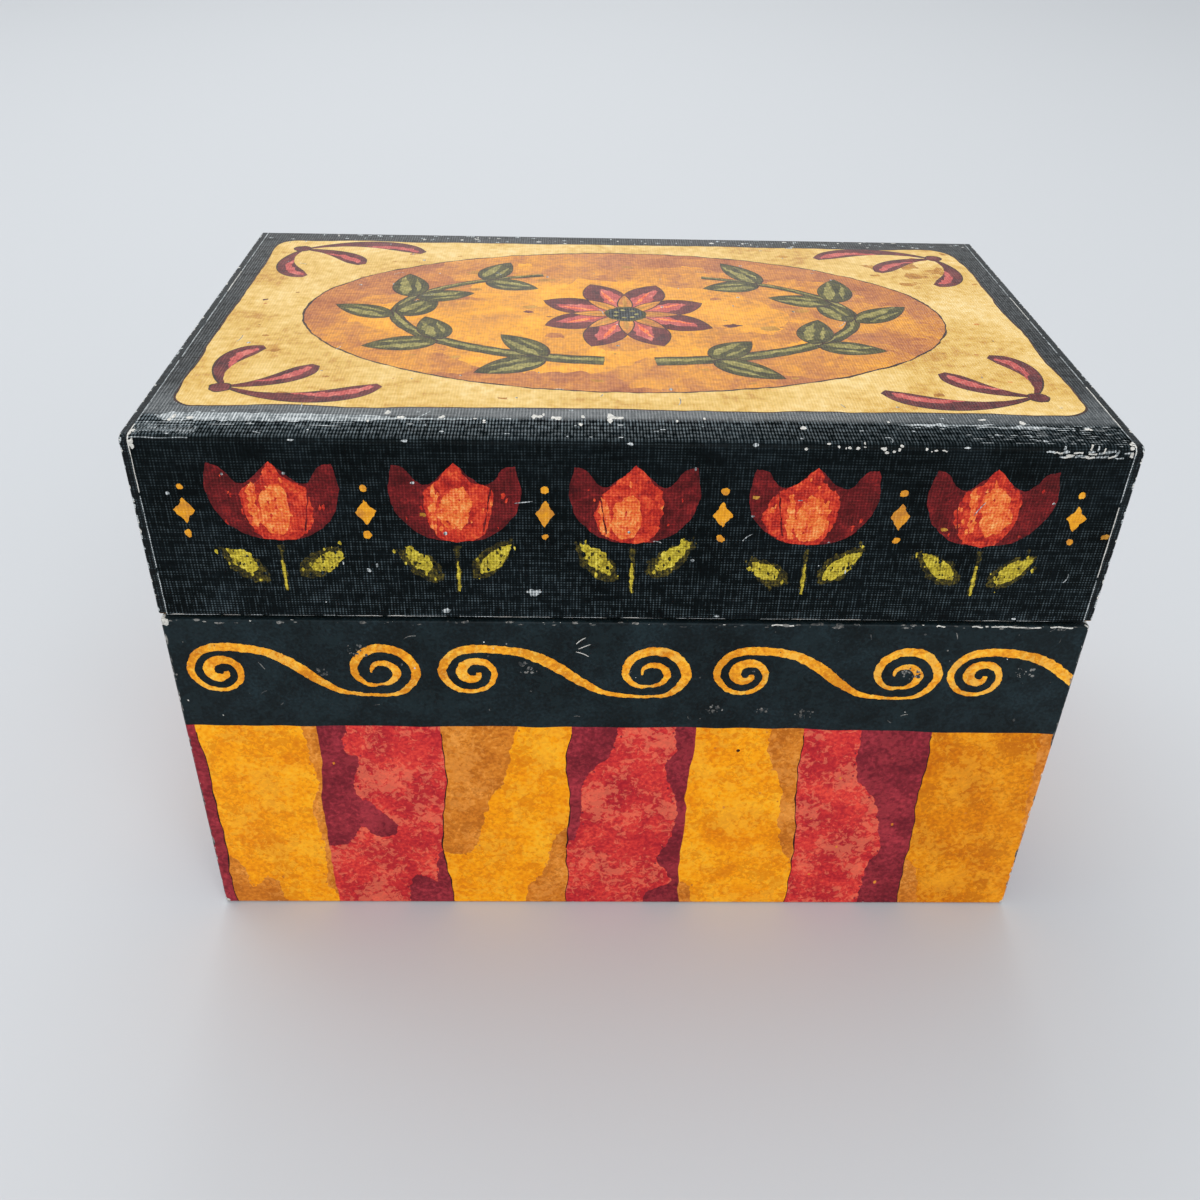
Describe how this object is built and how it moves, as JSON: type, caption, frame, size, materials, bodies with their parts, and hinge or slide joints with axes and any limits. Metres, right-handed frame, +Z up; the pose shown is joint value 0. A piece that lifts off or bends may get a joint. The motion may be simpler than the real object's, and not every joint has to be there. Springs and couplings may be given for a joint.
{
  "type": "recipe card box",
  "caption": "Paper-covered board box for 3 by 5 inch recipe cards, with a back-hinged flush lid, an inner collar and leaning cards behind tabbed dividers.",
  "frame": {"origin": "middle of the footprint, on the surface the box stands on", "axes": "+X to the right along the long side, +Y to the hinged back, +Z up; the front faces -Y"},
  "size_m": [0.14, 0.089, 0.0924],
  "materials": {
    "greyboard": "bare greyboard",
    "gummed_kraft": "gummed kraft tape",
    "printed_paper": "smooth printed paper, satin",
    "embossed_paper": "linen-embossed printed paper, satin",
    "bottom_paper": "plain dark paper, matt",
    "lining_paper": "plain cream paper, matt",
    "collar_card": "paper-faced card, matt",
    "divider_card": "coloured card, matt",
    "index_card": "ruled index card, matt"
  },
  "bodies": {
    "base": {"base_bottom_board": "greyboard", "base_front_board": "greyboard", "base_back_board": "greyboard", "base_left_board": "greyboard", "base_right_board": "greyboard", "base_corner_stays": "gummed_kraft", "base_wrap": "printed_paper", "base_back_paper": "printed_paper", "base_bottom_paper": "bottom_paper", "hinge_tail": "embossed_paper", "floor_lining": "lining_paper", "back_lining": "lining_paper", "collar_front": "collar_card", "collar_left": "collar_card", "collar_right": "collar_card"},
    "lid": {"lid_top_board": "greyboard", "lid_front_board": "greyboard", "lid_back_board": "greyboard", "lid_left_board": "greyboard", "lid_right_board": "greyboard", "lid_corner_stays": "gummed_kraft", "lid_cover": "embossed_paper", "lid_left_paper": "embossed_paper", "lid_right_paper": "embossed_paper", "lid_lining": "lining_paper", "lid_left_lining": "lining_paper", "lid_right_lining": "lining_paper"},
    "card_group_1": {"divider_1": "divider_card", "cards_1": "index_card"},
    "card_group_2": {"divider_2": "divider_card", "cards_2": "index_card"},
    "card_group_3": {"divider_3": "divider_card", "cards_3": "index_card"},
    "card_group_4": {"divider_4": "divider_card", "cards_4": "index_card"},
    "card_group_5": {"divider_5": "divider_card", "cards_5": "index_card"}
  },
  "joints": [
    {"name": "lid_hinge", "type": "hinge", "parent": "base", "child": "lid", "pos_m": [0, 0.04446, 0.06254], "axis": [-1, 0, 0], "range_deg": [0, 175]},
    {"name": "card_tilt_1", "type": "hinge", "parent": "base", "child": "card_group_1", "pos_m": [0, -0.00114, 0.00312], "axis": [1, 0, 0], "range_deg": [0, 24]},
    {"name": "card_tilt_2", "type": "hinge", "parent": "base", "child": "card_group_2", "pos_m": [0, 0.00641, 0.00312], "axis": [1, 0, 0], "range_deg": [0, 19.2]},
    {"name": "card_tilt_3", "type": "hinge", "parent": "base", "child": "card_group_3", "pos_m": [0, 0.01397, 0.00312], "axis": [1, 0, 0], "range_deg": [0, 14.4]},
    {"name": "card_tilt_4", "type": "hinge", "parent": "base", "child": "card_group_4", "pos_m": [0, 0.02152, 0.00312], "axis": [1, 0, 0], "range_deg": [0, 9.6]},
    {"name": "card_tilt_5", "type": "hinge", "parent": "base", "child": "card_group_5", "pos_m": [0, 0.02907, 0.00312], "axis": [1, 0, 0], "range_deg": [0, 4.8]}
  ],
  "couplings": [
    {"joint": "card_tilt_2", "follows": "card_tilt_1", "ratio": 0.8},
    {"joint": "card_tilt_3", "follows": "card_tilt_1", "ratio": 0.6},
    {"joint": "card_tilt_4", "follows": "card_tilt_1", "ratio": 0.4},
    {"joint": "card_tilt_5", "follows": "card_tilt_1", "ratio": 0.2}
  ]
}
